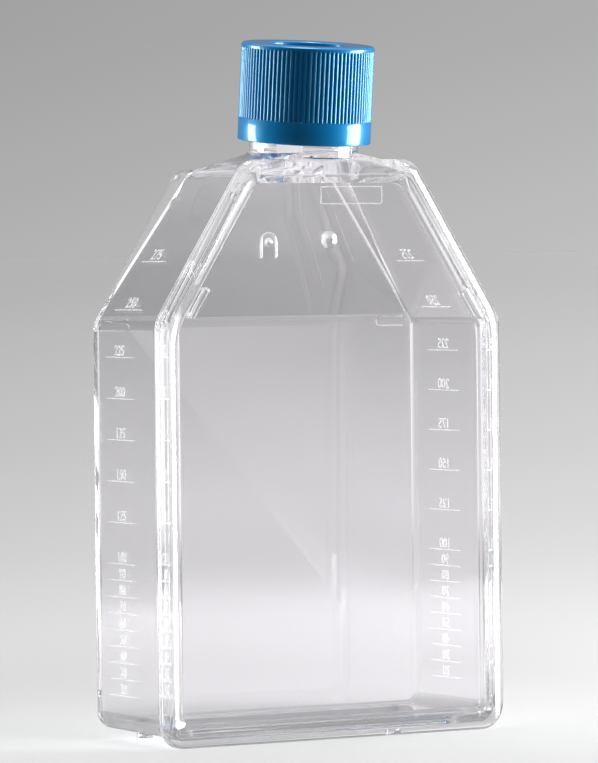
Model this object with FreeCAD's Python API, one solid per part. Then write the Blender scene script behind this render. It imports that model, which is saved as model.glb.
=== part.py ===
import FreeCAD, Part
import math
import os

V = FreeCAD.Vector

# A cell culture flask of clear polystyrene with a blue vented screw cap, standing on its base.
# Millimetres, +Z up, front (the cover plate) at -Y.  The shapes are first made with the front
# face of the rim at y = 0, and are moved at the end so that the origin is under the middle of
# the whole flask.

# ---- driving dimensions: outline of the rim, seen from the front
WIDTH = 85.0
SHOULDER_Z = 89.6          # height at which the sides start to slope in
TOP_Z = 123.8              # top edge of the rim
TOP_WIDTH = 41.8           # between the two upper corners, before rounding
CORNER = 5.5               # corner radius of the rim

# ---- body (the tub) and cover plate
DEPTH = 33.0               # rim face to the back of the growth floor
WALL = 1.5
PLATE = 1.2                # cover plate thickness in the rim, its back is the weld plane
FLANGE = 0.9               # thickness of the body's own flange behind it
SIDE_SET, BASE_SET, ROOF_SET = 1.5, 1.8, 1.4    # body walls in from the rim's edge, at the weld
DRAFT = 0.4                # how much further in they are at the back
BACK_ROUND = 1.2           # rounding round the back
INNER_ROUND = 0.7
RAMP = 6.5                 # how far the floor comes forward between shoulder and top
RAMP_Z = SHOULDER_Z + 0.6  # where the ramp starts

PANEL_FRONT = 1.0          # panel face behind the rim face
PANEL = 1.4                # panel thickness
SIDE_FACE, BASE_FACE, ROOF_FACE = 5.2, 4.2, 3.8  # width of the raised rim face
PLUG_GAP = 0.1             # panel to the inside of the body walls
RIM_ROUND = 0.45           # rounding of the plate's front edge
FLANGE_BEVEL = 0.4         # bevel of the flange's back edge

# ---- neck: its axis leans forward from a point on the rim's top level
CANT = math.radians(6.2)
NECK_Y = 11.4
NECK_R = 11.65
ROOT_R = 11.5              # threaded length, without the thread's ridge
STEP = 7.2                 # where the threaded length begins, along the axis
BORE_R = 9.3
NECK_TOP = 23.3            # lip, along the axis
CONE_R = 24.0              # foot of the shallow cone that fairs the neck into the roof
CONE_TOP_R = 12.3
CONE_TOP = 1.4             # top of that cone above the rim's top level

# ---- cap
CAP_FOOT = 4.1             # its lower edge, along the neck axis
CAP_H = 20.9
CAP_R = 14.3               # plain band and lip
BAND_H = 4.9
LIP_H = 0.8                # plain lip round the top, above the ribs
RIBS = 90
RIB_CREST, RIB_ROOT = 14.26, 13.98
CAP_WALL_R = 12.7          # inside of the skirt
CAP_TOP = 1.5              # thickness of the ring-shaped top
CAP_ROUND = 0.6            # bevel round its top edge
RECESS_MOUTH_R, RECESS_R = 9.1, 8.4     # vent recess at its bevelled mouth and below it
MOUTH_BEVEL = 0.5          # height of that bevel
RECESS_DEPTH = 4.6
LEDGE = 1.0
VENT_R = 5.5
PLUG_R = 9.1               # outside of the collar that enters the bore
PLUG_TIP = 0.7             # how far the collar reaches below the ledge
MEMBRANE_R, MEMBRANE_T = 6.9, 0.25
MEMBRANE_GAP = 0.05        # under its ledge

# ---- lugs and feet
LUG_LENGTH, LUG_WIDTH, LUG_PROUD = 7.4, 2.0, 1.2
LUG_PLACES = ((-1, 5.95, 4.9), (1, 4.85, 2.8))    # side, middle in from the edge, start up the slope
PROUD = 0.8                # bottom bar, in front of the rim
BAR_HALF, BAR_LOW, BAR_HIGH = 36.0, 2.5, 4.2
BACK_LUG_IN, BACK_LUG_OUT = 30.4, 37.6
BACK_LUG_LOW, BACK_LUG_HIGH, BACK_LUG_PROUD = 87.4, 89.8, 0.6
FOOT_X, FOOT_Y, FOOT_R = 31.0, 28.6, 1.7
GATE_Z, GATE_R, GATE_PROUD = 106.6, 2.1, 0.6
ARCH_X, ARCH_FOOT_Z, ARCH_TOP_Z, ARCH_R = -14.9, 103.2, 108.4, 2.1
ARCH_LINE, ARCH_PROUD = 0.55, 0.3
DOT_R = 0.95


def rounded_wire(points, radii):
    """Closed wire through the points, each corner replaced by a tangent arc of its radius."""
    edges = []
    count = len(points)
    starts, ends = [], []
    for i, (corner, radius) in enumerate(zip(points, radii)):
        back = (points[i - 1] - corner).normalize()
        ahead = (points[(i + 1) % count] - corner).normalize()
        half = back.getAngle(ahead) / 2
        reach = radius / math.tan(half)
        to_centre = (back + ahead).normalize()
        middle = corner + to_centre * (radius / math.sin(half) - radius)
        starts.append(corner + back * reach)
        ends.append(corner + ahead * reach)
        edges.append(Part.Arc(starts[i], middle, ends[i]).toShape())
    sides = [Part.LineSegment(ends[i - 1], starts[i]).toShape() for i in range(count)]
    return Part.Wire([edge for pair in zip(sides, edges) for edge in pair])


def outline(y, side, base, roof, corner):
    """Front view of the flask at depth y, set in from the rim's edge by side, base and roof."""
    slope_x = (TOP_WIDTH - WIDTH) / 2
    slope_z = TOP_Z - SHOULDER_Z
    length = math.hypot(slope_x, slope_z)
    run, rise = -slope_x / length, slope_z / length
    shoulder = SHOULDER_Z - side * (1 - rise) / run
    top = TOP_Z - roof
    half_top = WIDTH / 2 - (side + run * (top - SHOULDER_Z)) / rise
    half = WIDTH / 2 - side
    right = [V(half, y, base), V(half, y, shoulder), V(half_top, y, top)]
    left = [V(-p.x, p.y, p.z) for p in reversed(right)]
    return rounded_wire(right + left, [corner] * 6)


def body_outline(y, extra=0.0, lift=0.0):
    """Outline of the body's outer walls at depth y, or of a surface `extra` inside them."""
    draft = DRAFT * (y - PLATE) / (DEPTH - PLATE)
    inset = draft + extra
    corner = CORNER - SIDE_SET - inset * 0.8
    return outline(y, SIDE_SET + inset, BASE_SET + inset, ROOF_SET + inset - lift, corner)


def loft(first, second):
    return Part.makeLoft([first, second], True, True)


def prism(wire, depth):
    return Part.Face(wire).extrude(V(0, depth, 0))


def tilt(shape):
    """From the neck's own frame (axis +Z through the origin) to its place on the flask."""
    shape.rotate(V(0, 0, 0), V(1, 0, 0), math.degrees(CANT))
    shape.translate(V(0, NECK_Y, TOP_Z))
    return shape


def turned(profile):
    """Solid of revolution about Z from (radius, height) points."""
    points = [V(r, 0, h) for r, h in profile]
    face = Part.Face(Part.makePolygon(points + points[:1]))
    return face.revolve(V(0, 0, 0), V(0, 0, 1), 360)


def wedge(shift):
    """The space behind the sloping part of the floor, moved forward by shift."""
    reach = WIDTH / 2
    corners = [V(-reach, DEPTH - shift, RAMP_Z), V(-reach, DEPTH - RAMP - shift, TOP_Z - ROOF_SET),
               V(-reach, DEPTH - RAMP - shift, TOP_Z + 5), V(-reach, DEPTH + 5, TOP_Z + 5),
               V(-reach, DEPTH + 5, RAMP_Z)]
    return Part.Face(Part.makePolygon(corners + corners[:1])).extrude(V(2 * reach, 0, 0))


def neck_cone(drop):
    """Shallow cone that leads the roof up to the neck, lowered by drop."""
    low = ROOF_SET + DRAFT + 0.3
    cone = Part.makeCone(CONE_R, CONE_TOP_R, CONE_TOP + low)
    cone.translate(V(0, NECK_Y, TOP_Z - low - drop))
    return cone


def back_edges(shape, y):
    """Edges of the shape's perimeter that lie in the plane y."""
    flat = []
    for edge in shape.Edges:
        box = edge.BoundBox
        if abs(box.YMin - y) < 1e-4 and abs(box.YMax - y) < 1e-4:
            flat.append(edge)
    return flat


def make_body():
    """Tub of growth floor and walls with its flange, ramp, roof and canted neck in one piece."""
    roof_room = loft(body_outline(PLATE, 0, 4), body_outline(DEPTH, 0, 4))
    outer = loft(body_outline(PLATE), body_outline(DEPTH))
    outer = outer.fuse(neck_cone(0).common(roof_room)).removeSplitter()
    outer = outer.makeFillet(BACK_ROUND, back_edges(outer, DEPTH))
    flange = prism(outline(PLATE, 0, 0, 0, CORNER), FLANGE)
    flange = flange.makeChamfer(FLANGE_BEVEL, back_edges(flange, PLATE + FLANGE))
    shell = outer.fuse(flange)

    pocket = loft(body_outline(DEPTH / 2, WALL), body_outline(DEPTH + 6, WALL))
    shell = shell.cut(pocket.common(wedge(0)))

    floor = DEPTH - WALL
    cavity = loft(body_outline(PLATE - 1, WALL), body_outline(floor, WALL))
    cavity = cavity.makeFillet(INNER_ROUND, back_edges(cavity, floor))
    inner_roof = loft(body_outline(PLATE, WALL, 4), body_outline(floor, WALL, 4))
    cavity = cavity.fuse(neck_cone(WALL).common(inner_roof)).cut(wedge(WALL))

    neck = tilt(turned([(0, -5), (NECK_R, -5), (NECK_R, STEP), (ROOT_R, STEP + 0.3),
                        (ROOT_R, NECK_TOP - 0.5), (ROOT_R - 0.5, NECK_TOP), (0, NECK_TOP)]))
    front = Part.makeBox(WIDTH, 10, TOP_Z, V(-WIDTH / 2, PLATE - 10, 0))
    neck = neck.cut(front).cut(wedge(WALL))
    bore = tilt(turned([(0, -6), (BORE_R, -6), (BORE_R, NECK_TOP - 0.4),
                        (BORE_R + 0.4, NECK_TOP + 0.1), (0, NECK_TOP + 0.1)]))
    shell = shell.fuse(neck).cut(cavity).cut(bore)

    extras = [back_lug(-1), back_lug(1)]
    for side in (-1, 1):
        foot = Part.makeCylinder(FOOT_R, BASE_SET + 1)
        foot.translate(V(side * FOOT_X, FOOT_Y, 0))
        extras.append(foot)
    return shell.fuse(extras).removeSplitter()


def back_lug(side):
    """Short level rib on the back at the shoulder, round at its inner end."""
    radius = (BACK_LUG_HIGH - BACK_LUG_LOW) / 2
    middle = (BACK_LUG_HIGH + BACK_LUG_LOW) / 2
    sunk = 0.5
    bar = Part.makeBox(BACK_LUG_OUT - BACK_LUG_IN - radius, sunk + BACK_LUG_PROUD, 2 * radius,
                       V(BACK_LUG_IN + radius, DEPTH - sunk, BACK_LUG_LOW))
    end = Part.makeCylinder(radius, sunk + BACK_LUG_PROUD,
                            V(BACK_LUG_IN + radius, DEPTH - sunk, middle), V(0, 1, 0))
    lug = bar.fuse(end)
    return lug if side > 0 else lug.mirror(V(0, 0, 0), V(1, 0, 0))


def slot_bar(start, end, width, y, depth):
    """Bar with round ends between two points of the front view, from y to y + depth."""
    along = (end - start).normalize()
    across = V(-along.z, 0, along.x) * (width / 2)
    up = V(0, y, 0)
    a, b = start + up, end + up
    reach = along * (width / 2)
    wire = Part.Wire([Part.LineSegment(a + across, b + across).toShape(),
                      Part.Arc(b + across, b + reach, b - across).toShape(),
                      Part.LineSegment(b - across, a - across).toShape(),
                      Part.Arc(a - across, a - reach, a + across).toShape()])
    return prism(wire, depth)


def front_lug(side, middle, start):
    """Slanted lug at the inner edge of the rim, beside a shoulder of the front plate."""
    slope = V((TOP_WIDTH - WIDTH) / 2, 0, TOP_Z - SHOULDER_Z).normalize()
    inward = V(-slope.z, 0, slope.x)
    low = V(WIDTH / 2, 0, SHOULDER_Z) + inward * middle + slope * (start + LUG_WIDTH / 2)
    high = low + slope * (LUG_LENGTH - LUG_WIDTH)
    lug = slot_bar(low, high, LUG_WIDTH, -LUG_PROUD, LUG_PROUD + PANEL_FRONT + 0.4)
    return lug if side > 0 else lug.mirror(V(0, 0, 0), V(1, 0, 0))


def make_cover():
    """Front plate: raised rim face, sunk panel that plugs the body's mouth, lugs and marks."""
    plate = prism(outline(0, 0, 0, 0, CORNER), PLATE)
    plate = plate.makeFillet(RIM_ROUND, back_edges(plate, 0))
    inside = WALL + PLUG_GAP
    plug = prism(outline(PLATE / 2, SIDE_SET + inside, BASE_SET + inside, ROOF_SET + inside,
                         CORNER - SIDE_SET - inside * 0.8), PANEL_FRONT + PANEL - PLATE / 2)
    dip = prism(outline(-1, SIDE_FACE, BASE_FACE, ROOF_FACE, 2.6), 1 + PANEL_FRONT)
    cover = plate.fuse(plug).cut(dip)

    sunk = 0.4
    mid = (BAR_LOW + BAR_HIGH) / 2
    width = BAR_HIGH - BAR_LOW
    bar = slot_bar(V(-BAR_HALF + width / 2, 0, mid), V(BAR_HALF - width / 2, 0, mid), width,
                   -PROUD, PROUD + sunk)
    lugs = [front_lug(side, middle, start) for side, middle, start in LUG_PLACES]
    return cover.fuse(lugs + [bar] + panel_marks())


def panel_marks():
    """Gate dome in the middle, and an arch-shaped mould mark with its dot to the left."""
    ball_r = (GATE_R ** 2 + GATE_PROUD ** 2) / (2 * GATE_PROUD)
    ball = Part.makeSphere(ball_r, V(0, PANEL_FRONT - GATE_PROUD + ball_r, GATE_Z))
    keep = Part.makeCylinder(GATE_R + 0.5, GATE_PROUD + 0.3,
                             V(0, PANEL_FRONT - GATE_PROUD, GATE_Z), V(0, 1, 0))
    dome = ball.common(keep)

    y = PANEL_FRONT - ARCH_PROUD
    depth = ARCH_PROUD + 0.3
    centre = V(ARCH_X, y, ARCH_TOP_Z - ARCH_R)
    ring = Part.makeCylinder(ARCH_R, depth, centre, V(0, 1, 0))
    ring = ring.cut(Part.makeCylinder(ARCH_R - ARCH_LINE, depth, centre, V(0, 1, 0)))
    above = Part.makeBox(2 * ARCH_R, depth, ARCH_R, V(ARCH_X - ARCH_R, y, centre.z))
    arch = ring.common(above)
    legs = [Part.makeBox(ARCH_LINE, depth, centre.z - ARCH_FOOT_Z, V(x, y, ARCH_FOOT_Z))
            for x in (ARCH_X - ARCH_R, ARCH_X + ARCH_R - ARCH_LINE)]
    dot = Part.makeCylinder(DOT_R, depth, V(ARCH_X, y, centre.z), V(0, 1, 0))
    return [dome, arch.fuse(legs), dot]


def ribbed_grip():
    """Grip of the cap between band and lip: flat-topped ribs with a V-shaped groove between."""
    pitch = 2 * math.pi / RIBS
    corners = []
    for i in range(RIBS):
        for radius, share in ((RIB_ROOT, -0.5), (RIB_CREST, -0.16), (RIB_CREST, 0.16)):
            angle = (i + share) * pitch
            corners.append(V(radius * math.cos(angle), radius * math.sin(angle), BAND_H))
    face = Part.Face(Part.makePolygon(corners + corners[:1]))
    return face.extrude(V(0, 0, CAP_H - LIP_H - BAND_H))


def make_cap():
    """Blue cap: plain band, ribbed grip, ring-shaped top, vent recess and sealing collar."""
    band = turned([(0, 0), (CAP_R - 0.25, 0), (CAP_R, 0.25), (CAP_R, BAND_H), (0, BAND_H)])
    lip_foot = CAP_H - LIP_H
    lip = turned([(0, lip_foot), (CAP_R, lip_foot), (CAP_R, CAP_H - CAP_ROUND),
                  (CAP_R - CAP_ROUND, CAP_H), (0, CAP_H)])
    outside = band.fuse([ribbed_grip(), lip])

    under_top = CAP_H - CAP_TOP
    ledge_top = CAP_H - RECESS_DEPTH
    collar_foot = ledge_top - LEDGE - PLUG_TIP
    hollow = turned([(0, 0), (CAP_WALL_R + 0.4, 0), (CAP_WALL_R, 0.4), (CAP_WALL_R, under_top),
                     (PLUG_R, under_top), (PLUG_R, collar_foot + 0.5),
                     (PLUG_R - 0.3, collar_foot), (0, collar_foot)])
    recess = turned([(0, ledge_top), (RECESS_R, ledge_top), (RECESS_R, CAP_H - MOUTH_BEVEL),
                     (RECESS_MOUTH_R, CAP_H), (0, CAP_H)])
    vent = Part.makeCylinder(VENT_R, LEDGE + 2, V(0, 0, ledge_top - LEDGE - 1))
    seat = Part.makeCylinder(MEMBRANE_R + 0.3, PLUG_TIP + 1, V(0, 0, collar_foot - 1))
    shell = outside.cut([hollow, recess, vent, seat])

    shell.translate(V(0, 0, CAP_FOOT))
    return tilt(shell)


def make_membrane():
    """White vent membrane, a disc held under the ledge of the cap's recess."""
    top = CAP_FOOT + CAP_H - RECESS_DEPTH - LEDGE - MEMBRANE_GAP
    return tilt(Part.makeCylinder(MEMBRANE_R, MEMBRANE_T, V(0, 0, top - MEMBRANE_T)))


def middle_y():
    """Middle of the whole depth, from the front of the cap's lip to the lugs on the back."""
    lip_top = CAP_FOOT + CAP_H - CAP_ROUND
    front = NECK_Y - math.sin(CANT) * lip_top - math.cos(CANT) * CAP_R
    return (front + DEPTH + BACK_LUG_PROUD) / 2


nodes = {"flask_body": make_body(), "cover_plate": make_cover(),
         "cap_shell": make_cap(), "vent_membrane": make_membrane()}
os.makedirs("parts", exist_ok=True)
for name, shape in nodes.items():
    shape.translate(V(0, -middle_y(), 0))
    shape.exportStep("parts/" + name + ".step")
    box = shape.BoundBox
    print(name, "solids", len(shape.Solids), "valid", shape.isValid(),
          "volume %.0f" % shape.Volume, "box %.2f %.2f %.2f to %.2f %.2f %.2f" %
          (box.XMin, box.YMin, box.ZMin, box.XMax, box.YMax, box.ZMax))
print("middle_y %.3f" % middle_y())
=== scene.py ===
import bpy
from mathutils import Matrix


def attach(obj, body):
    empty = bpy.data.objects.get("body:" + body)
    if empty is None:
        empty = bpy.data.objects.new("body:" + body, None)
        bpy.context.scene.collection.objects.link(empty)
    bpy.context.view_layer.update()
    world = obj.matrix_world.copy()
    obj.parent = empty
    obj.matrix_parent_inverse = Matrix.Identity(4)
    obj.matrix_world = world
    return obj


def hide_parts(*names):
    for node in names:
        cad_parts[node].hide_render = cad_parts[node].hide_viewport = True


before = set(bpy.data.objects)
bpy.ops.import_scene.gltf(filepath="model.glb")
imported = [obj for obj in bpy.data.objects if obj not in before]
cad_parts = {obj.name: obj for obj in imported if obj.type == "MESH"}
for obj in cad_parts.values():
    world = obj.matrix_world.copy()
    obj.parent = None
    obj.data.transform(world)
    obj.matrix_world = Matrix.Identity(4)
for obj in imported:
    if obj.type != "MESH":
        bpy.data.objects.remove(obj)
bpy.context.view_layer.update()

import math
import bpy
import bmesh
from mathutils import Matrix, Vector
from mathutils.bvhtree import BVHTree

# ---- Body and front plate
# Two clear polystyrene mouldings.  The body is a tub with a canted threaded neck, and the plate is
# welded on to the flange round its open front, so both are joined here into one unbroken skin.
MM = 0.001                            # lengths are in millimetres, and in metres from the room on
HALF_WIDTH, TOP = 42.5, 123.8         # over the rim
SHOULDER, TOP_HALF = 89.6, 20.9       # where the sides start to slope in, and where they end
RIM_FACE, RIM_THICK = -14.074, 2.1    # y of the raised rim's front face, and its thickness
RIM_WIDTH, RIM_CROWN, RIM_EDGE = 5.0, 1.0, 0.4   # its face, and how far face and edge swell
CORNER = 3.0                          # softness of the turns in that swelling
PANEL_BACK = 1.0                      # the panel's face behind the rim's
BACK_FACE = 18.926                    # y of the growth floor's outside
BAR_Z, BAR = 3.35, (35.15, 0.85, 0.15)           # bottom bar: half length, radius, crown
LUG, LUG_SHIFT = (4.95, 6.95, 0.4), 1.1          # front lugs: from and to, in from the edge, crown
LUG_X, LUG_Z, BACK_LUG = 37.6, 88.6, (6.0, 1.2, 0.2)
PAD_EDGE = 0.35                       # softened edge of the bar and the back lugs
ARCH_X, ARCH_Z, ARCH_R, ARCH_LINE, DOT_R = -14.9, 106.3, 2.1, 0.55, 0.95
ARCH_CROWN, DOT_CROWN, ARCH_LEG = 0.13, 0.35, 3.4
ARCH_SILL, ARCH_FALL = 1.0, 0.25      # where the floor in the arch starts to fall, and its slope
HAIR = 0.3                            # how near a face a point counts as on it
FRONTAL, SIDEWAYS = 0.9, 0.3          # how much of a face's normal lies along y
FLOW_RIPPLE = 0.01


class Signal:
    """A shader socket that carries a value; arithmetic on it adds the Math nodes."""

    def __init__(self, socket):
        self.socket = socket

    @classmethod
    def node(cls, tree, kind, settings={}, sockets={}, output=0):
        """The output of a new node, from its settings and the values or links of its sockets."""
        made = tree.nodes.new(kind)
        for name, value in settings.items():
            setattr(made, name, value)
        for name, value in sockets.items():
            if isinstance(value, Signal):
                tree.links.new(value.socket, made.inputs[name])
            else:
                made.inputs[name].default_value = value
        return cls(made.outputs[output])

    def other(self, name):
        """Another output of the same node."""
        return Signal(self.socket.node.outputs[name])

    def math(self, operation, *values):
        return Signal.node(self.socket.id_data, "ShaderNodeMath", {"operation": operation},
                           dict(enumerate(values)))

    def at_least(self, other):
        return self.math("MAXIMUM", self, other)

    def at_most(self, other):
        return self.math("MINIMUM", self, other)

    def part(self, index):
        """One of the X, Y, Z numbers of a vector."""
        return Signal.node(self.socket.id_data, "ShaderNodeSeparateXYZ", {}, {0: self}, index)

    def rise(self, start, end, kind="SMOOTHSTEP"):
        """0 up to start, 1 from end on, with an even or a soft step between."""
        return Signal.node(self.socket.id_data, "ShaderNodeMapRange",
                           {"interpolation_type": kind},
                           {"Value": self, "From Min": start, "From Max": end})

    def mix(self, first, second):
        """The first colour where this is 0, the second where it is 1."""
        return Signal.node(self.socket.id_data, "ShaderNodeMix", {"data_type": "RGBA"},
                           {0: self, 6: first, 7: second}, output=2)

    def __add__(self, other):
        return self.math("ADD", self, other)

    __radd__ = __add__

    def __sub__(self, other):
        return self.math("SUBTRACT", self, other)

    def __rsub__(self, other):
        return self.math("SUBTRACT", other, self)

    def __mul__(self, other):
        return self.math("MULTIPLY", self, other)

    __rmul__ = __mul__

    def __truediv__(self, other):
        return self.math("DIVIDE", self, other)

    def __rtruediv__(self, other):
        return self.math("DIVIDE", other, self)

    def __abs__(self):
        return self.math("ABSOLUTE", self)

    def __lt__(self, other):
        return self.math("LESS_THAN", self, other)

    def __gt__(self, other):
        return self.math("GREATER_THAN", self, other)


def surface(name, build):
    """A material whose Surface is the shader that build(tree) returns."""
    material = bpy.data.materials.new(name)
    material.use_nodes = True
    tree = material.node_tree
    tree.nodes.clear()
    output = tree.nodes.new("ShaderNodeOutputMaterial")
    tree.links.new(build(tree).socket, output.inputs["Surface"])
    return material


def roll(across, start, end, crown):
    """A rounded swelling between two limits, flat beyond them."""
    share = across.rise(start, end, "LINEAR")
    return share * (1 - share) * (4 * crown)


def pad(along, across, half, radius, crown):
    """A flat pad with round ends whose edge is softened."""
    past = (abs(along) - half).at_least(0)
    square = past * past + across * across
    return (1 - square.math("SQRT", square).rise(radius - PAD_EDGE, radius)) * crown


def arch_relief(x, y, z):
    """Rounded line of the arch, domed dot in it, and a floor that slopes away under the dot."""
    side, rise = x - ARCH_X, z - ARCH_Z
    upper = rise.at_least(0)
    square = side * side + upper * upper
    reach = square.math("SQRT", square)
    line = roll(reach, ARCH_R - ARCH_LINE, ARCH_R, ARCH_CROWN)
    round_dot = (side * side + rise * rise) * (1 / DOT_R ** 2)
    dot = (1 - round_dot.at_most(1)) * DOT_CROWN
    below = (rise + ARCH_SILL).at_most(0) * ARCH_FALL * (reach < ARCH_R - ARCH_LINE)
    return (line + dot + below) * (rise > -ARCH_LEG) * (y < RIM_FACE + PANEL_BACK + HAIR)


def rim_relief(tree, place):
    """Height in metres of the soft swellings on the rim, its lugs and its bar."""
    across, y, z = place.part(0) / MM, place.part(1) / MM, place.part(2) / MM
    x = abs(across)
    facing = abs(Signal.node(tree, "ShaderNodeNewGeometry", output="True Normal").part(1))
    outward = Vector((TOP - SHOULDER, HALF_WIDTH - TOP_HALF)).normalized()
    slant = outward.dot(Vector((HALF_WIDTH, SHOULDER))) - (x * outward.x + z * outward.y)
    side = HALF_WIDTH - x
    side = side.math("SMOOTH_MIN", side, slant, CORNER)
    inward = side.math("SMOOTH_MIN", side, z.at_most(TOP - z), CORNER)
    proud, behind = y < RIM_FACE - HAIR, y > BACK_FACE + HAIR
    on_rim = (1 - proud) * (y < RIM_FACE + RIM_THICK + HAIR)
    lug = slant + (across > 0) * LUG_SHIFT       # the right lug is nearer to the rim's edge
    face = (roll(inward, 0, RIM_WIDTH, RIM_CROWN) * on_rim
            + (pad(across, z - BAR_Z, *BAR) + roll(lug, *LUG)) * proud
            + pad(x - LUG_X, z - LUG_Z, *BACK_LUG) * behind + arch_relief(across, y, z))
    edge = roll(y, RIM_FACE, RIM_FACE + RIM_THICK, RIM_EDGE) * (inward < 2 * HAIR)
    return (face * (facing > FRONTAL) + edge * (facing < SIDEWAYS)) * MM


def clear_styrene(tree):
    """Water-clear plastic with the faint flow ripple of a moulding; lamps shine through it."""
    place = Signal.node(tree, "ShaderNodeTexCoord", output="Object")
    ripple = Signal.node(tree, "ShaderNodeTexNoise", {}, {"Vector": place, "Scale": 60.0})
    relief = rim_relief(tree, place) + ripple * (FLOW_RIPPLE * MM)
    bump = Signal.node(tree, "ShaderNodeBump", {},
                       {"Strength": 1.0, "Distance": 1.0, "Height": relief})
    plastic = Signal.node(tree, "ShaderNodeBsdfPrincipled", {},
                          {"Base Color": (0.99, 0.98, 0.998, 1), "Roughness": 0.0, "IOR": 1.59,
                           "Transmission Weight": 1.0, "Normal": bump})
    shadow = Signal.node(tree, "ShaderNodeLightPath", output="Is Shadow Ray")
    through = Signal.node(tree, "ShaderNodeBsdfTransparent", {}, {"Color": (0.93, 0.94, 0.94, 1)})
    return Signal.node(tree, "ShaderNodeMixShader", {}, {0: shadow, 1: plastic, 2: through})


CLEAR = surface("clear_styrene", clear_styrene)


def dress(thing, material):
    thing.data.materials.clear()
    thing.data.materials.append(material)


def settle(thing, sharp):
    """Smooth shading that keeps flat faces flat and breaks at edges sharper than the angle."""
    for face in thing.data.polygons:
        face.use_smooth = True
    thing.data.set_sharp_from_angle(angle=math.radians(sharp))
    weigh = thing.modifiers.new("weigh", "WEIGHTED_NORMAL")
    weigh.weight = 100
    weigh.keep_sharp = True


def closed(thing):
    """Join points that coincide, so that the mesh has no seams."""
    mesh = bmesh.new()
    mesh.from_mesh(thing.data)
    bmesh.ops.remove_doubles(mesh, verts=mesh.verts, dist=0.0001 * MM)
    mesh.to_mesh(thing.data)
    mesh.free()
    return thing


def mesh_object(name, mesh):
    thing = bpy.data.objects.new(name, mesh)
    bpy.context.scene.collection.objects.link(thing)
    return thing


def loose_copy(name, node):
    """A copy of a solid's mesh that rides on nothing yet."""
    return closed(mesh_object(name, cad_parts[node].data.copy()))


def built(name, points, faces):
    """A new object from points in millimetres."""
    mesh = bpy.data.meshes.new(name)
    mesh.from_pydata([point * MM for point in points], [], faces)
    return mesh_object(name, mesh)


CANT = math.radians(6.2)
AXIS_FOOT = Vector((0, -2.674, TOP))  # where the neck's axis meets the top of the rim
NECK_R = 11.65


def on_axis(radius, angle, height):
    """A point round the canted neck axis, by its height above the axis's foot."""
    flat = Vector((radius * math.cos(angle), radius * math.sin(angle), height))
    return Matrix.Rotation(CANT, 3, "X") @ flat + AXIS_FOOT


THREAD_ROOT, THREAD_CREST, LEAD = 11.5, 12.45, 4.0
THREAD_START, THREAD_TURNS, THREAD_PHASE = 9.4, 1.75, -60.0
THREAD_STEPS, RUN_IN = 90, 12         # steps in a turn, and those over which an end rises
THREAD_FOOT, THREAD_TIP, THREAD_SUNK = 0.85, 0.3, 0.25    # half heights, and depth in the wall


def ridge(root, crest, start, phase):
    """A screw thread's ridge as a closed strip, whose ends sink into the wall it grows from."""
    points, faces = [], []
    count = int(THREAD_TURNS * THREAD_STEPS)
    sunk = root - math.copysign(THREAD_SUNK, crest - root)
    for i in range(count + 1):
        turn = THREAD_TURNS * i / count
        angle = math.radians(phase) + 2 * math.pi * turn
        height = start + LEAD * turn
        reach = root + (crest - root) * min(1, i / RUN_IN, (count - i) / RUN_IN)
        points += [on_axis(sunk, angle, height - THREAD_FOOT),
                   on_axis(reach, angle, height - THREAD_TIP),
                   on_axis(reach, angle, height + THREAD_TIP),
                   on_axis(sunk, angle, height + THREAD_FOOT)]
    for i in range(count):
        for j in range(4):
            k = (j + 1) % 4
            faces.append([4 * i + j, 4 * i + k, 4 * i + 4 + k, 4 * i + 4 + j])
    faces.append([3, 2, 1, 0])
    faces.append([4 * count + j for j in range(4)])
    if root > crest:
        faces = [face[::-1] for face in faces]
    return points, faces


RING_STEPS = 180
CONE_R, CONE_HIGH, CONE_SLOPE = 12.3, 1.4, 3.5 / 11.7     # top of the roof's shallow cone
BLEND_R, BLEND_HIGH, BLEND_BENDS = 12.9, 0.8, 7           # the fillet's reach outwards and up
BEND_OUT, BEND_DOWN = 0.1, 0.35       # its hollow, out from the neck and down from the cone
CONE_DIP, NECK_DIP, ROOT_DEEP = 0.04, 0.02, 0.9           # how far it goes into the walls
FRONT_ROOM = 10.0                     # what it has in front, from the axis to near the rim
FADED_R, FADED_SUNK = 11.2, 0.4       # where the fillet hides in the wall when it has faded out
NECK_CORE = 10.9                      # a radius inside the neck's wall


def neck_blend():
    """A hollow fillet between the roof's cone and the neck; it fades out at the front."""
    points, faces = [], []
    for i in range(RING_STEPS):
        angle = 2 * math.pi * i / RING_STEPS
        room = FRONT_ROOM / max(0.01, -math.sin(angle))
        share = max(0.0, min(1.0, (room - NECK_R) / (BLEND_R - NECK_R)))
        sunk = FADED_SUNK * (1 - share)
        reach = FADED_R + (BLEND_R - FADED_R) * share
        drop = CONE_HIGH - (reach - CONE_R) * CONE_SLOPE - CONE_DIP
        far = AXIS_FOOT + Vector((reach * math.cos(angle), reach * math.sin(angle), drop))
        near = on_axis(NECK_R - NECK_DIP - sunk, angle, CONE_HIGH + BLEND_HIGH * share)
        bend = on_axis(NECK_R + BEND_OUT * share - sunk, angle, CONE_HIGH - BEND_DOWN)
        for j in range(BLEND_BENDS):
            t = j / (BLEND_BENDS - 1)
            points.append(near * (1 - t) ** 2 + bend * 2 * t * (1 - t) + far * t * t)
        points.append(far * 0.8 + near * 0.2 - Vector((0, 0, ROOT_DEEP)))
        points.append(on_axis(NECK_CORE, angle, ROOT_DEEP))
    ring = BLEND_BENDS + 2
    for i in range(RING_STEPS):
        for j in range(ring):
            k, after = (j + 1) % ring, (i + 1) % RING_STEPS
            faces.append([ring * i + k, ring * i + j, ring * after + j, ring * after + k])
    return points, faces


SLEEVE_LOW, SLEEVE_HIGH = 1.55, 7.15  # from the neck's foot to its thread
SLEEVE_R, SLEEVE_CORE = NECK_R + 0.01, 10.7


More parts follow.
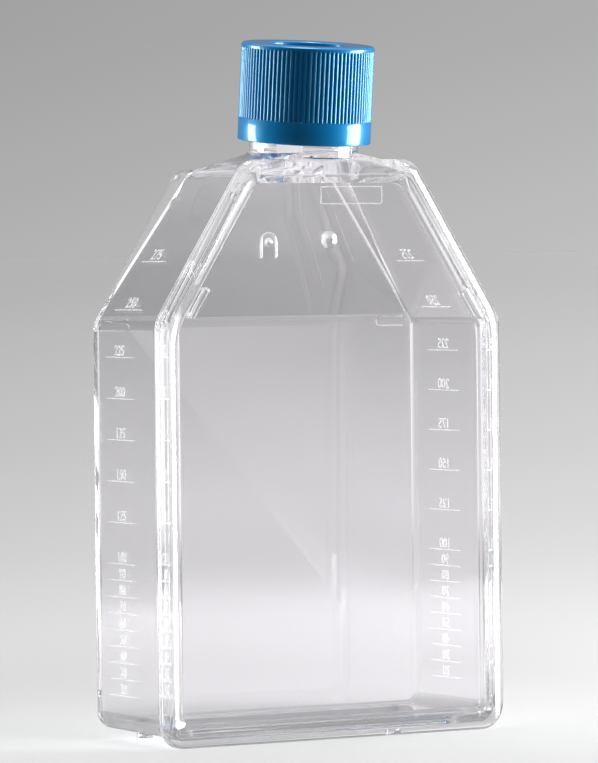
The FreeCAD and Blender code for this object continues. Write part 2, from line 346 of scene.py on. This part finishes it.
def neck_sleeve():
    """A smooth ring over the plain length of the neck, between its foot and its thread."""
    points, faces = [], []
    section = ((SLEEVE_CORE, SLEEVE_LOW), (SLEEVE_R, SLEEVE_LOW), (SLEEVE_R, SLEEVE_HIGH),
               (SLEEVE_CORE, SLEEVE_HIGH))
    for i in range(RING_STEPS):
        angle = 2 * math.pi * i / RING_STEPS
        points += [on_axis(radius, angle, high) for radius, high in section]
        after = 4 * ((i + 1) % RING_STEPS)
        faces += [[after + j, after + (j + 1) % 4, 4 * i + (j + 1) % 4, 4 * i + j]
                  for j in range(4)]
    return points, faces


def unite(first, others):
    """Weld closed meshes into the first one and drop the rest."""
    for other in others:
        weld = first.modifiers.new("weld", "BOOLEAN")
        weld.operation = "UNION"
        weld.solver = "EXACT"
        weld.object = other
    graph = bpy.context.evaluated_depsgraph_get()
    merged = bpy.data.meshes.new_from_object(first.evaluated_get(graph))
    first.modifiers.clear()
    first.data = merged
    for other in others:
        bpy.data.objects.remove(other)
    mesh = bmesh.new()
    mesh.from_mesh(merged)
    bmesh.ops.remove_doubles(mesh, verts=mesh.verts, dist=0.002 * MM)
    bmesh.ops.dissolve_limit(mesh, angle_limit=math.radians(0.3), verts=mesh.verts,
                             edges=mesh.edges)
    mesh.to_mesh(merged)
    mesh.free()


skin = loose_copy("clear_skin", "flask_body")
blend = built("blend", *neck_blend())
thread = built("thread", *ridge(THREAD_ROOT, THREAD_CREST, THREAD_START, THREAD_PHASE))
sleeve = built("sleeve", *neck_sleeve())
unite(skin, [loose_copy("plate", "cover_plate"), sleeve, blend, thread])
dress(skin, CLEAR)
for node in ("flask_body", "cover_plate"):
    dress(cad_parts[node], CLEAR)
settle(skin, sharp=35)
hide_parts("flask_body", "cover_plate")
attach(skin, "flask")

# ---- Graduations
# Lines with their volumes in millilitres, raised from the outside of both side walls of the body
# by the mould, whose marks are left a little rough so that they read as white.
VOLUMES = (20, 30, 40, 50, 60, 70, 80, 90, 100, 125, 150, 175, 200, 225)
MARKS_Z, MARKS_STEP = 82.14, 0.352    # height of the last of these lines, and of a millilitre
MARKS_Y, LINE_LONG, LINE_THICK = 5.85, 12.0, 0.20
SHOULDER_MARKS = ((250, 92.2, 5.33, 12.4),                # volume, height, middle, length
                  (275, 102.4, 5.6, 10.9))
FIGURE, FIGURE_BOLD, FIGURE_RISE = 3.05, 0.03, 0.45       # size, stroke, height over the line
MARK_LIFT, MARK_SUNK = 0.10, 0.01
OUTSIDE = 60                          # x of a point well outside the walls


def figures(number):
    """A number's figures as a thin plate in the XY plane, in millimetres."""
    curve = bpy.data.curves.new("figures", "FONT")
    curve.body = str(number)
    curve.size = FIGURE
    curve.align_x = "CENTER"
    curve.offset = FIGURE_BOLD
    curve.resolution_u = 3
    curve.extrude = MARK_LIFT / 2
    holder = bpy.data.objects.new("figures", curve)
    mesh = bpy.data.meshes.new_from_object(holder)
    points = [Vector(corner.co) for corner in mesh.vertices]
    faces = [list(face.vertices) for face in mesh.polygons]
    bpy.data.objects.remove(holder)
    return points, faces


def block(x0, x1, y0, y1, z0, z1):
    """A box between two corners."""
    points = [Vector((x, y, z)) for z in (z0, z1)
              for x, y in ((x0, y0), (x1, y0), (x1, y1), (x0, y1))]
    faces = [[3, 2, 1, 0], [4, 5, 6, 7], [0, 1, 5, 4], [1, 2, 6, 5], [2, 3, 7, 6], [3, 0, 4, 7]]
    return points, faces


def frosted_mark(tree):
    """Raised clear figures whose rough faces scatter light."""
    place = Signal.node(tree, "ShaderNodeTexCoord", output="Object")
    grain = Signal.node(tree, "ShaderNodeTexNoise", {}, {"Vector": place, "Scale": 3000.0})
    return Signal.node(tree, "ShaderNodeBsdfPrincipled", {},
                       {"Base Color": (0.93, 0.93, 0.94, 1), "Roughness": 0.6,
                        "Alpha": grain * 0.24 + 0.08})


FROST = surface("frosted_mark", frosted_mark)
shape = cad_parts["flask_body"].data
wall = BVHTree.FromPolygons([corner.co for corner in shape.vertices],
                            [face.vertices for face in shape.polygons])


def join(points, faces, more_points, more_faces):
    """Add a piece's points and faces to lists that hold those of others."""
    start = len(points)
    points += more_points
    faces += [[start + corner for corner in face] for face in more_faces]


def on_wall(side, middle, foot, flat_points):
    """Lay a flat mark's points on the outside of a side wall, to be read from that side."""
    for place in flat_points:
        origin = Vector((side * OUTSIDE, middle + side * place.x, foot + place.y)) * MM
        spot, normal, _, _ = wall.ray_cast(origin, Vector((-side, 0, 0)))
        yield spot / MM + normal * (place.z + MARK_LIFT / 2 - MARK_SUNK)


rows = [(volume, MARKS_Z - MARKS_STEP * (VOLUMES[-1] - volume), MARKS_Y, LINE_LONG)
        for volume in VOLUMES]
mark_points, mark_faces = [], []
for side in (-1, 1):
    for volume, height, middle, length in rows + list(SHOULDER_MARKS):
        line = block(-length / 2, length / 2, -LINE_THICK, 0, -MARK_LIFT / 2, MARK_LIFT / 2)
        for foot, (points, faces) in ((height + LINE_THICK / 2, line),
                                      (height + FIGURE_RISE, figures(volume))):
            join(mark_points, mark_faces, on_wall(side, middle, foot, points), faces)
marks = built("graduations", mark_points, mark_faces)
dress(marks, FROST)
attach(marks, "flask")

# ---- Frame on the front plate
# A plain frame for a name, left empty, raised a hair from the panel between the shoulders.  It is
# moulded with the plate and is frosted like the graduations.
PANEL_FACE = RIM_FACE + PANEL_BACK
FRAME_LEFT, FRAME_LOW, FRAME_RIGHT, FRAME_HIGH = -1.95, 114.2, 13.5, 118.1
FRAME_LINE, FRAME_LIFT, FRAME_SUNK = 0.28, 0.08, 0.01
inner_left, inner_right = FRAME_LEFT + FRAME_LINE, FRAME_RIGHT - FRAME_LINE
inner_low, inner_high = FRAME_LOW + FRAME_LINE, FRAME_HIGH - FRAME_LINE
frame_points, frame_faces = [], []
for x0, z0, x1, z1 in ((FRAME_LEFT, FRAME_LOW, FRAME_RIGHT, inner_low),
                       (FRAME_LEFT, inner_high, FRAME_RIGHT, FRAME_HIGH),
                       (FRAME_LEFT, inner_low, inner_left, inner_high),
                       (inner_right, inner_low, FRAME_RIGHT, inner_high)):
    bar = block(x0, x1, PANEL_FACE - FRAME_LIFT, PANEL_FACE + FRAME_SUNK, z0, z1)
    join(frame_points, frame_faces, *bar)
name_frame = built("name_frame", frame_points, frame_faces)
dress(name_frame, FROST)
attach(name_frame, "flask")

# ---- Cap
# One blue polyethylene moulding: a plain band, a grip of ninety rounded ribs, a plain lip and a
# ring-shaped top round the vent recess.  It is screwed on to the neck by a ridge inside.
CAP_FOOT, CAP_HIGH = 4.1, 20.9        # its lower edge along the neck axis, and its height
BAND_R, BAND_HIGH, LIP_HIGH = 14.3, 4.9, 1.0
RIBS, PER_RIB = 90, 12                # and the steps in a rib
RIB_CREST, RIB_FLANK, RIB_ROOT = 14.27, 14.13, 13.98
FLANK_SHARE = 0.75                    # of a rib's width, before its groove
FOOT_ROUND, TOP_ROUND, MOUTH_ROUND = 0.25, 0.6, 0.5
SKIRT_R, SKIRT_BEVEL, ROOF_THICK = 12.7, 0.4, 1.5
CAP_CREST, CAP_RIDGE, CAP_PHASE = 11.95, 3.7, -109.5      # the ridge's radius, start and turn
MOUTH_R, RECESS_R, RECESS_DEEP, RECESS_ROUND = 8.9, 8.4, 4.6, 0.25
BAND_BREAK, RIB_BREAK, VENT_BREAK, COLLAR_BEVEL = (0.05, 0.06), 0.04, 0.1, (0.3, 0.5)
LEDGE_THICK, VENT_R, SEAT_R = 1.0, 5.5, 7.2
COLLAR_R, COLLAR_DROP = 9.1, 1.7      # the collar that enters the bore, and how far below the ledge


def lathe(profile, steps, foot):
    """Rings round the neck axis through (radius or radius function, height) pairs."""
    points, faces = [], []
    for radius, height in profile:
        for step in range(steps):
            reach = radius(step) if callable(radius) else radius
            points.append(on_axis(reach, 2 * math.pi * step / steps, foot + height))
    for row in range(len(profile)):
        for step in range(steps):
            low, high = row * steps, (row + 1) % len(profile) * steps
            after = (step + 1) % steps
            faces.append([low + step, low + after, high + after, high + step])
    return points, faces


def arc(centre_r, centre_h, radius, start, end, count):
    """Points of a rounded edge in the profile, from one angle to the other."""
    turns = [math.radians(start + (end - start) * i / count) for i in range(count + 1)]
    return [(centre_r + radius * math.cos(turn), centre_h + radius * math.sin(turn))
            for turn in turns]


def rib(step):
    """Radius of the grip: a softly rounded crest, and a narrow groove to the next."""
    share = abs((step % PER_RIB) / PER_RIB * 2 - 1)
    if share < FLANK_SHARE:
        return RIB_CREST - (RIB_CREST - RIB_FLANK) * (share / FLANK_SHARE) ** 2
    return RIB_FLANK - (RIB_FLANK - RIB_ROOT) * (share - FLANK_SHARE) / (1 - FLANK_SHARE)


def blue_plastic(tree):
    """Glossy moulded blue with a fine grain and a little wander in its tone."""
    place = Signal.node(tree, "ShaderNodeTexCoord", output="Object")
    cloud = Signal.node(tree, "ShaderNodeTexNoise", {}, {"Vector": place, "Scale": 120.0})
    grain = Signal.node(tree, "ShaderNodeTexNoise", {}, {"Vector": place, "Scale": 2500.0})
    bump = Signal.node(tree, "ShaderNodeBump", {},
                       {"Strength": 0.08, "Distance": 0.0001, "Height": grain})
    return Signal.node(tree, "ShaderNodeBsdfPrincipled", {},
                       {"Base Color": cloud.mix((0.0, 0.20, 0.54, 1), (0.0, 0.23, 0.60, 1)),
                        "Roughness": cloud * 0.08 + 0.30,
                        "Specular IOR Level": 1.0, "Specular Tint": (0.05, 0.75, 1.0, 1),
                        "Coat Weight": 0.8, "Coat Roughness": 0.05, "Normal": bump})


BLUE = surface("blue_polyethylene", blue_plastic)
lip, ledge = CAP_HIGH - LIP_HIGH, CAP_HIGH - RECESS_DEEP
collar = ledge - COLLAR_DROP
profile = arc(BAND_R - FOOT_ROUND, FOOT_ROUND, FOOT_ROUND, -90, 0, 3)
profile += [(BAND_R, BAND_HIGH - BAND_BREAK[1]), (BAND_R - BAND_BREAK[0], BAND_HIGH)]
profile += [(rib, BAND_HIGH + RIB_BREAK), (rib, lip - RIB_BREAK), (BAND_R - RIB_BREAK, lip)]
profile += arc(BAND_R - TOP_ROUND, CAP_HIGH - TOP_ROUND, TOP_ROUND, 8, 90, 6)
profile += arc(MOUTH_R, CAP_HIGH - MOUTH_ROUND, MOUTH_ROUND, 90, 180, 6)
profile += [(RECESS_R, ledge + RECESS_ROUND), (RECESS_R - RECESS_ROUND, ledge)]
profile += [(VENT_R + VENT_BREAK, ledge), (VENT_R, ledge - VENT_BREAK)]
profile += [(VENT_R, ledge - LEDGE_THICK)]
profile += [(SEAT_R, ledge - LEDGE_THICK), (SEAT_R, collar)]
profile += [(COLLAR_R - COLLAR_BEVEL[0], collar), (COLLAR_R, collar + COLLAR_BEVEL[1])]
profile += [(COLLAR_R, CAP_HIGH - ROOF_THICK)]
profile += [(SKIRT_R, CAP_HIGH - ROOF_THICK), (SKIRT_R, SKIRT_BEVEL), (SKIRT_R + SKIRT_BEVEL, 0.0)]
cap_points, cap_faces = lathe(profile, RIBS * PER_RIB, CAP_FOOT)
join(cap_points, cap_faces, *ridge(SKIRT_R, CAP_CREST, CAP_FOOT + CAP_RIDGE, CAP_PHASE))
cap = built("cap_moulding", cap_points, cap_faces)
dress(cap, BLUE)
dress(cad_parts["cap_shell"], BLUE)
settle(cap, sharp=40)
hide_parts("cap_shell")
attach(cap, "cap")

# ---- Vent membrane
# A white filter disc of matted fibres, sealed under the ledge of the cap's recess.  The solid has
# its whole shape, so it only gets its material here.


def white_filter(tree):
    place = Signal.node(tree, "ShaderNodeTexCoord", output="Object")
    fibre = Signal.node(tree, "ShaderNodeTexNoise", {}, {"Vector": place, "Scale": 2500.0})
    bump = Signal.node(tree, "ShaderNodeBump", {},
                       {"Strength": 0.3, "Distance": 0.0001, "Height": fibre})
    return Signal.node(tree, "ShaderNodeBsdfPrincipled", {},
                       {"Base Color": (0.86, 0.86, 0.85, 1), "Roughness": 0.8, "Normal": bump})


dress(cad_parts["vent_membrane"], surface("white_filter", white_filter))

# ---- Room
# A wide pale floor and a pale sky.  Both darken to grey in a wedge behind the flask, so that its
# clear walls show grey while its rims catch the white on either side.  Lengths are in metres.
YAW = math.radians(30.437)            # the way the flask is looked at, from +Y towards +X
AWAY = Vector((math.sin(YAW), math.cos(YAW)))
APEX, SPREAD = 1.12, 0.0575           # the wedge starts this far in front, and widens by this
WEDGE_TILT = 0.077                    # how much paler its right side is
NEAR_TONE, PALER, DULLER = 0.465, 0.41, 0.165             # beside the flask, then up, then down
PALER_OVER, DULLER_OVER = (-0.74, 0.14), (-0.03, 1.26)    # decades of distance from the flask
# The third tone is painted shade on the floor where it is seen through plastic. The last is a dark
# copy of the floor for bounced and mirrored rays, which is painted shade.
OPEN_TONE, FRONT_TONE, SHADE_THROUGH_TONE, BOUNCE_TONE = 0.82, 0.4, 0.28, 0.12
FOOTPRINT = 0.05                      # added to the distance, so that its logarithm stays small
# painted glow of the floor in a ring close round the flask, seen only through the plastic
NEAR_GLOW = 0.14
LEFT_WALL = HALF_WIDTH * MM


def split(x, y):
    """How far a point or direction lies along the wedge, and to the right of it."""
    return x * AWAY.x + y * AWAY.y, x * AWAY.y - y * AWAY.x


def grey(tone):
    return (tone, tone, tone, 1)


def grey_floor(tree):
    """Matt floor painted with the wedge; through plastic it shows painted shade and a painted glow,
    and its bounced light is painted dark.
    """
    place = Signal.node(tree, "ShaderNodeTexCoord", output="Object")
    folded = abs(place.part(0) + LEFT_WALL) - LEFT_WALL
    along, right = split(folded, place.part(1))
    left_share = place.part(0).rise(-0.12, -0.05) * 0.5 + 0.5    # makes it wider on the left
    aside = right / ((along + APEX) * SPREAD) * left_share
    reach = Signal.node(tree, "ShaderNodeVectorMath", {"operation": "LENGTH"}, {0: place}, 1)
    decade = reach.math("LOGARITHM", reach + FOOTPRINT, 10.0)
    fade = NEAR_TONE + decade.rise(*PALER_OVER) * PALER - decade.rise(*DULLER_OVER) * DULLER
    wedge = fade * (aside.at_least(-1.3).at_most(1.3) * WEDGE_TILT + 1)
    front = (along * -1).rise(0.2, 2.0)
    open_side = abs(aside).rise(1.3, 2.6) * reach.rise(0.25, 0.6)
    colour = open_side.mix(wedge, front.mix(grey(OPEN_TONE), grey(FRONT_TONE)))
    # For bounced and mirrored rays the floor is a dark copy of itself. This is painted shade in the
    # light it throws on the flask and cap, and in its reflections.
    bounce = Signal.node(tree, "ShaderNodeLightPath", output="Is Diffuse Ray")
    through = bounce.other("Is Transmission Ray")
    mirror = bounce.other("Is Glossy Ray") * (1 - through)
    # Painted shade: seen through the plastic, the floor is darker close round the flask, and in
    # strips beside the wedge behind it.
    contact_shade = 1 - reach.rise(0.04, 0.10)
    sides = abs(aside).rise(1.1, 1.8) * (1 - reach.rise(0.45, 0.90)) * along.rise(0.0, 0.1)
    shade_seen_through = through * contact_shade.at_least(sides)
    seen = bounce.at_least(mirror).mix(shade_seen_through.mix(colour, grey(SHADE_THROUGH_TONE)), grey(BOUNCE_TONE))
    # Painted glow: seen through the plastic, the floor gives light of its own far off to the sides
    # and in a ring close round the flask, though it is no lamp.
    glow = open_side * (1 - front) * reach.rise(0.6, 1.0)
    glow = glow + reach.rise(0.06, 0.12) * (1 - reach.rise(0.25, 0.6)) * NEAR_GLOW
    return Signal.node(tree, "ShaderNodeBsdfPrincipled", {},
                       {"Base Color": seen, "Roughness": 0.9, "Specular IOR Level": 0.0,
                        "Coat Weight": mirror, "Coat Roughness": 0.05,
                        "Emission Color": glow * through, "Emission Strength": 0.5})


bpy.ops.mesh.primitive_circle_add(vertices=96, radius=60, fill_type="NGON")
floor = bpy.context.object
floor.name = "floor"
floor.data.materials.append(surface("pale_floor", grey_floor))

sky = bpy.data.worlds.new("pale_sky")
bpy.context.scene.world = sky
sky.use_nodes = True
sky.node_tree.nodes.clear()
SKY_WHITE, SKY_GREY, SKY_FRONT = 0.92, 0.485, 0.57        # white, grey, and what the front lacks
SKY_FALL, SKY_FALL_HIGH = 0.085, 0.04                     # how the grey darkens upwards
SKY_SWAY = 0.0234                                         # and lightens to the right, a degree
SKY_BESIDE = 0.35                     # added beside the wedge, where clear plastic shows it
SKY_LIGHT, SKY_TOP, SKY_DARK, SKY_REAR = 0.85, 0.3, 0.07, 0.18   # what lights the flask


def sky_tones(tree):
    """Grey levels of the sky: as seen, added beside the wedge, as a light, and as mirrored."""
    way = Signal.node(tree, "ShaderNodeTexCoord", output="Generated")
    along, right = split(way.part(0), way.part(1))
    height = way.part(2)
    turn = right.math("ARCTAN2", right, along) * (180 / math.pi)
    behind = 1 - abs(turn).rise(8, 20)
    mirrored = 1 - abs(turn + 2 * math.degrees(YAW)).rise(6, 14)
    fall = height.rise(0.0, 0.04, "LINEAR") * SKY_FALL
    fall = fall + height.rise(0.04, 0.08, "LINEAR") * SKY_FALL_HIGH
    sway = turn.at_least(-4.0).at_most(4.0) * SKY_SWAY + 1
    low = 1 - height.rise(0.5, 0.9)
    front = turn.rise(85, 100) + (turn * -1).rise(88, 110)
    wide = (1 - abs(turn + 20).rise(50, 65)) * height.rise(0.08, 0.2)
    wedge = behind.at_least(mirrored).at_least(wide) * low
    seen = wedge * (SKY_GREY - fall) * sway + (1 - wedge) * (SKY_WHITE - front * SKY_FRONT)
    beside = (1 - wedge) * (1 - front) * SKY_BESIDE
    light = SKY_LIGHT + height.rise(0.3, 0.9) * SKY_TOP
    light = light - front * (1 - height.rise(0.8, 0.98)) * (light - SKY_DARK)
    rear = (1 - abs(turn).rise(58, 68)) * low
    return seen, beside, light, light + rear * (SKY_REAR - light)


seen, beside, light, gloss = sky_tones(sky.node_tree)
direct = Signal.node(sky.node_tree, "ShaderNodeLightPath", output="Is Camera Ray")
through, mirror = direct.other("Is Transmission Ray"), direct.other("Is Glossy Ray")
shown = (direct + through).rise(0, 1, "LINEAR")
light = light + (gloss - light) * mirror
tone = light + (seen + beside * through - light) * shown
glow = Signal.node(sky.node_tree, "ShaderNodeBackground", {}, {"Color": tone, "Strength": 1.0})
world_output = sky.node_tree.nodes.new("ShaderNodeOutputWorld")
sky.node_tree.links.new(glow.socket, world_output.inputs["Surface"])


def softbox(name, width, height, radiance):
    """An even rectangular lamp; it shows in gloss, not through plastic."""
    lamp = bpy.data.lights.new(name, "AREA")
    lamp.shape = "RECTANGLE"
    lamp.size = width
    lamp.size_y = height
    lamp.energy = radiance * math.pi * width * height
    panel = bpy.data.objects.new(name, lamp)
    bpy.context.scene.collection.objects.link(panel)
    panel.visible_camera = False
    panel.visible_transmission = False
    return panel


def upright(panel, bearing, distance):
    """Stand a lamp on the floor beside the flask and turn it towards the flask."""
    way = Vector((math.sin(math.radians(bearing)), math.cos(math.radians(bearing)), 0))
    panel.location = way * distance + Vector((0, 0, panel.data.size_y / 2))
    panel.rotation_euler = (-way).to_track_quat("-Z", "Y").to_euler()
    return panel


softboxes = [upright(softbox("left_softbox", 0.16, 0.26, 14.0), -47, 0.45),
             upright(softbox("right_softbox", 0.26, 0.28, 16.0), 115, 0.45),
             softbox("top_softbox", 0.24, 0.24, 13.0)]
softboxes[-1].location = (0, 0, 0.75)

# ---- Camera
# A long lens a little over a metre away, level with the flask's shoulders and tilted down slightly.
EYE = Vector((-0.56733, -0.965474, 0.10541))
PITCH, ROLL = math.radians(1.495), math.radians(-0.642)
ahead = Vector((AWAY.x * math.cos(PITCH), AWAY.y * math.cos(PITCH), -math.sin(PITCH)))
level = Vector((AWAY.y, -AWAY.x, 0))
above = level.cross(ahead)
side = math.cos(ROLL) * level + math.sin(ROLL) * above
top = math.cos(ROLL) * above - math.sin(ROLL) * level
lens = bpy.data.cameras.new("camera")
lens.sensor_width = 36
lens.lens = 245.16
lens.clip_end = 200
camera = bpy.data.objects.new("camera", lens)
bpy.context.scene.collection.objects.link(camera)
turn = Matrix((side, top, -ahead)).transposed().to_4x4()
camera.matrix_world = Matrix.Translation(EYE) @ turn
bpy.context.scene.camera = camera
bpy.context.scene.view_settings.view_transform = "Standard"
bpy.context.scene.cycles.max_bounces = 96
bpy.context.scene.cycles.glossy_bounces = 96
bpy.context.scene.cycles.transmission_bounces = 24
